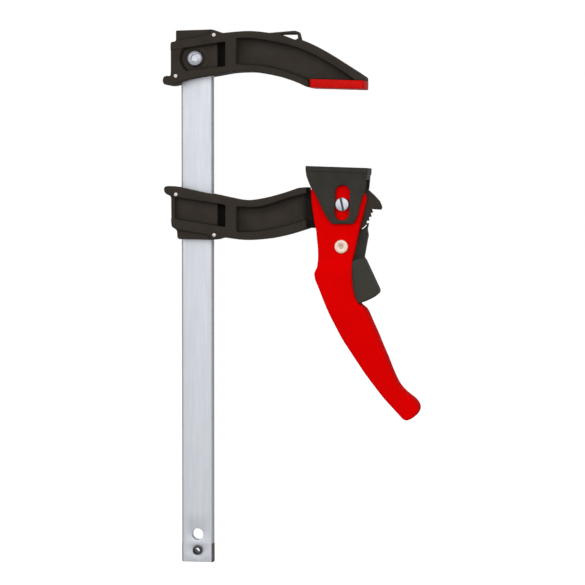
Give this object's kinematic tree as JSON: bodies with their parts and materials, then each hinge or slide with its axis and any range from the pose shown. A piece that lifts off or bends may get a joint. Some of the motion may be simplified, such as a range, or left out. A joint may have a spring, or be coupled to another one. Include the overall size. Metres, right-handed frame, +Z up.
{
  "type": "quick release bar clamp",
  "caption": "Lever clamp on a flat steel rail: fixed arm with a capped jaw, sliding arm with a cam-lifted pressure head, hand lever and ratchet release.",
  "frame": {"origin": "centre of the fixed jaw's clamping face", "axes": "+Z up along the rail from its free end to the fixed arm, +X along the arms away from the rail, -Y the front that the picture shows"},
  "size_m": [0.1559, 0.0202, 0.3251],
  "materials": {
    "rail_steel": "zinc-plated, fine vertical grain",
    "arm_casting": "matt near-black powder coat on cast light metal",
    "dark_steel": "satin near-black coat",
    "bright_zinc": "bright zinc",
    "pin_steel": "ground steel",
    "rivet_steel": "dull ivory plating",
    "cap_plastic": "glossy red",
    "lever_plastic": "glossy red",
    "trigger_plastic": "fine satin"
  },
  "bodies": {
    "clamp_body": {"rail": "rail_steel", "rail_stop_pin": "dark_steel", "fixed_arm": "arm_casting", "fixed_arm_screw": "bright_zinc", "fixed_arm_nut": "bright_zinc", "fixed_upper_pin": "pin_steel", "fixed_lower_pin": "pin_steel", "fixed_jaw_cap": "cap_plastic"},
    "sliding_jaw": {"sliding_arm": "arm_casting", "sliding_upper_pin": "pin_steel", "sliding_lower_pin": "pin_steel"},
    "moving_head": {"pressure_head": "dark_steel"},
    "lever_group": {"lever": "lever_plastic", "pivot_bolt": "bright_zinc", "pivot_nut": "bright_zinc", "pawl_rivet": "rivet_steel", "pawl_spring": "pin_steel"},
    "pawl_group": {"pawl": "dark_steel", "release_trigger": "trigger_plastic"}
  },
  "joints": [
    {"name": "arm_slide", "type": "slide", "parent": "clamp_body", "child": "sliding_jaw", "axis": [0, 0, 1], "range_m": [-0.187, 0.043]},
    {"name": "lever_swing", "type": "hinge", "parent": "sliding_jaw", "child": "lever_group", "pos_m": [0.0034, 0, -0.0696], "axis": [0, 1, 0], "range_deg": [-27, 18]},
    {"name": "head_lift", "type": "slide", "parent": "sliding_jaw", "child": "moving_head", "axis": [0.0349, 0, 0.9994], "range_m": [-0.00567, 0.00378]},
    {"name": "pawl_release", "type": "hinge", "parent": "lever_group", "child": "pawl_group", "pos_m": [0.0027, 0, -0.095], "axis": [0, 1, 0], "range_deg": [-2.6, 10], "stiffness_Nm_per_rad": 0.3, "deforming": ["pawl_spring"]}
  ],
  "couplings": [
    {"joint": "head_lift", "follows": "lever_swing", "m_per_rad": 0.012}
  ]
}
